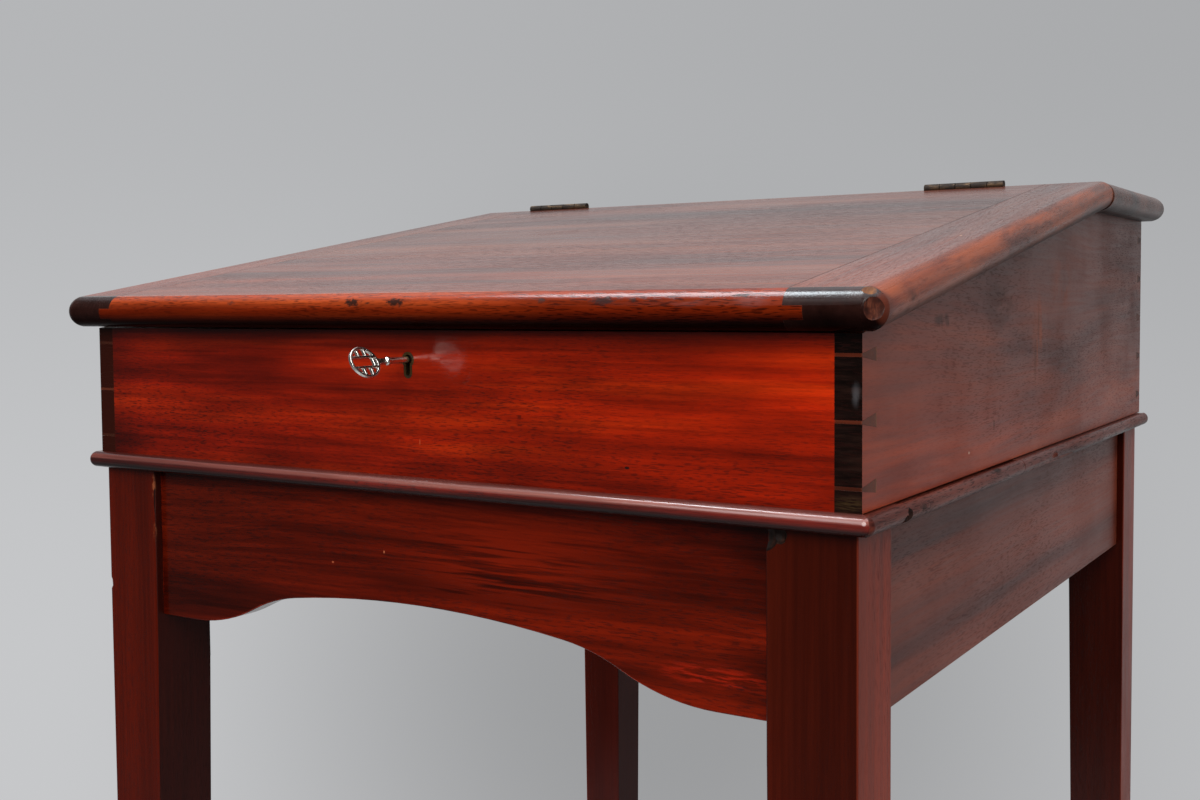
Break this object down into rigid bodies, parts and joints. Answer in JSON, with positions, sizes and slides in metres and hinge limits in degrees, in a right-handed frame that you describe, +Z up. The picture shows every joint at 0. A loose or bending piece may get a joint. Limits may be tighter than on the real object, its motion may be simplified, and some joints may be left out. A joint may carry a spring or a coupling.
{
  "type": "clerks standing desk",
  "caption": "Slope-front standing desk: a dovetailed box with a hinged lid, a flat ledge behind it and a key lock, on square tapered legs with an arched front apron.",
  "frame": {"origin": "centre of the overall box at floor level", "axes": "+X to the right seen from the front, +Y to the back, +Z up"},
  "size_m": [0.721, 0.853, 1.1539],
  "materials": {
    "stand_mahogany": "old polished mahogany, dark red-brown",
    "strip_mahogany": "old polished mahogany, red-purple",
    "box_mahogany": "polished orange-red mahogany",
    "lid_mahogany": "worn polished mahogany, brown",
    "old_brass": "tarnished brass",
    "lock_steel": "plain steel",
    "key_nickel": "bright nickel"
  },
  "bodies": {
    "desk": {"leg_front_left": "stand_mahogany", "leg_front_right": "stand_mahogany", "leg_rear_left": "stand_mahogany", "leg_rear_right": "stand_mahogany", "apron_front": "stand_mahogany", "apron_rear": "stand_mahogany", "apron_left": "stand_mahogany", "apron_right": "stand_mahogany", "moulding_front": "strip_mahogany", "moulding_left": "strip_mahogany", "moulding_right_front": "strip_mahogany", "moulding_right_middle": "strip_mahogany", "moulding_right_rear": "strip_mahogany", "box_front": "box_mahogany", "box_left_side": "box_mahogany", "box_right_side": "box_mahogany", "box_back": "box_mahogany", "box_bottom": "box_mahogany", "top_ledge": "lid_mahogany", "keyhole_liner": "old_brass", "hinge_left_fixed_leaf": "old_brass", "hinge_left_pin": "old_brass", "hinge_right_fixed_leaf": "old_brass", "hinge_right_pin": "old_brass", "hinge_screws_ledge": "old_brass", "lock_plate": "lock_steel", "lock_case": "lock_steel", "lock_screws": "lock_steel"},
    "lid": {"lid_panel": "lid_mahogany", "lid_cleat_left": "lid_mahogany", "lid_cleat_right": "lid_mahogany", "hinge_left_moving_leaf": "old_brass", "hinge_right_moving_leaf": "old_brass", "hinge_screws_lid": "old_brass", "link_plate": "lock_steel", "link_plate_screws": "lock_steel"},
    "key": {"key": "key_nickel"},
    "bolt": {"lock_bolt": "lock_steel"}
  },
  "joints": [
    {"name": "lid_hinge", "type": "hinge", "parent": "desk", "child": "lid", "pos_m": [0, 0.1875, 1.1501], "axis": [-1, 0, 0], "range_deg": [0, 105]},
    {"name": "key_turn", "type": "hinge", "parent": "desk", "child": "key", "pos_m": [0, -0.3685, 1.003], "axis": [0, 1, 0], "range_deg": [0, 60]},
    {"name": "bolt_slide", "type": "slide", "parent": "desk", "child": "bolt", "axis": [-1, 0, 0], "range_m": [0, 0.009]}
  ],
  "couplings": [
    {"joint": "bolt_slide", "follows": "key_turn", "m_per_rad": 0.00859}
  ]
}
